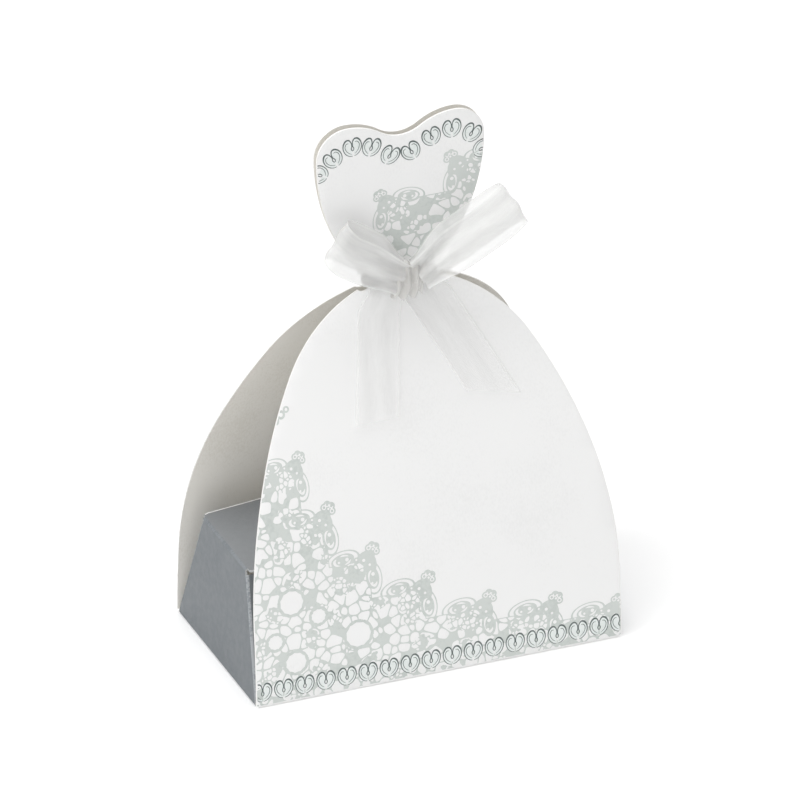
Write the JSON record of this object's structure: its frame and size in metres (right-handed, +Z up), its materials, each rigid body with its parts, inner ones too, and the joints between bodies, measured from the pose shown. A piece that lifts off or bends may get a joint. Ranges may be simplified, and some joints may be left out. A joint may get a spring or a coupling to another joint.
{
  "type": "gown-shaped favour box",
  "caption": "Folded-card wedding favour box in the shape of a bridal gown, with a bell skirt, a heart-shaped bodice and an organza bow at the waist.",
  "frame": {"origin": "centre of the base's underside, on the surface that the box stands on", "axes": "+Z up, -Y towards the front skirt and its bow, +X to the right as seen from the front"},
  "size_m": [0.085, 0.047, 0.1246],
  "materials": {
    "card_white": "satin coated card printed with a light grey lace",
    "card_side": "satin coated card printed blue-grey",
    "ribbon": "sheer white organza"
  },
  "bodies": {
    "base": {"base_panel": "card_white"},
    "front": {"front_skirt": "card_white", "front_waist_tie": "ribbon", "bow_knot": "ribbon", "bow_left_loop": "ribbon", "bow_right_loop": "ribbon", "bow_left_tail": "ribbon", "bow_right_tail": "ribbon"},
    "front_top": {"front_bodice": "card_white"},
    "back": {"back_skirt": "card_white", "back_waist_tie": "ribbon"},
    "back_top": {"back_bodice": "card_white"},
    "left_wall": {"left_side_wall": "card_side"},
    "right_wall": {"right_side_wall": "card_side"},
    "left_dust": {"left_dust_flap": "card_side"},
    "right_dust": {"right_dust_flap": "card_side"},
    "left_front_tuck": {"left_front_tuck_flap": "card_side"},
    "left_back_tuck": {"left_back_tuck_flap": "card_side"},
    "right_front_tuck": {"right_front_tuck_flap": "card_side"},
    "right_back_tuck": {"right_back_tuck_flap": "card_side"}
  },
  "joints": [
    {"name": "front_skirt_fold", "type": "hinge", "parent": "base", "child": "front", "pos_m": [0, -0.0235, 0], "axis": [1, 0, 0], "range_deg": [0, 90]},
    {"name": "back_skirt_fold", "type": "hinge", "parent": "base", "child": "back", "pos_m": [0, 0.0235, 0], "axis": [-1, 0, 0], "range_deg": [0, 90]},
    {"name": "front_bodice_flex", "type": "hinge", "parent": "front", "child": "front_top", "pos_m": [0, -0.0006, 0.0865], "axis": [1, 0, 0], "range_deg": [0, 5]},
    {"name": "back_bodice_flex", "type": "hinge", "parent": "back", "child": "back_top", "pos_m": [0, 0.0006, 0.0865], "axis": [-1, 0, 0], "range_deg": [0, 15]},
    {"name": "left_wall_fold", "type": "hinge", "parent": "base", "child": "left_wall", "pos_m": [-0.0425, 0, 0], "axis": [0, -1, 0], "range_deg": [0, 90]},
    {"name": "right_wall_fold", "type": "hinge", "parent": "base", "child": "right_wall", "pos_m": [0.0425, 0, 0], "axis": [0, 1, 0], "range_deg": [0, 90]},
    {"name": "left_dust_flap_fold", "type": "hinge", "parent": "left_wall", "child": "left_dust", "pos_m": [-0.0406, 0, 0.028], "axis": [0, -1, 0], "range_deg": [0, 90]},
    {"name": "right_dust_flap_fold", "type": "hinge", "parent": "right_wall", "child": "right_dust", "pos_m": [0.0406, 0, 0.028], "axis": [0, 1, 0], "range_deg": [0, 90]},
    {"name": "left_front_tuck_fold", "type": "hinge", "parent": "left_wall", "child": "left_front_tuck", "pos_m": [-0.04195, -0.02245, 0], "axis": [0.0637, 0.3386, 0.9388], "range_deg": [0, 60]},
    {"name": "left_back_tuck_fold", "type": "hinge", "parent": "left_wall", "child": "left_back_tuck", "pos_m": [-0.04195, 0.02245, 0], "axis": [-0.0637, 0.3386, -0.9388], "range_deg": [0, 60]},
    {"name": "right_front_tuck_fold", "type": "hinge", "parent": "right_wall", "child": "right_front_tuck", "pos_m": [0.04195, -0.02245, 0], "axis": [0.0637, -0.3386, -0.9388], "range_deg": [0, 60]},
    {"name": "right_back_tuck_fold", "type": "hinge", "parent": "right_wall", "child": "right_back_tuck", "pos_m": [0.04195, 0.02245, 0], "axis": [-0.0637, -0.3386, 0.9388], "range_deg": [0, 60]}
  ]
}
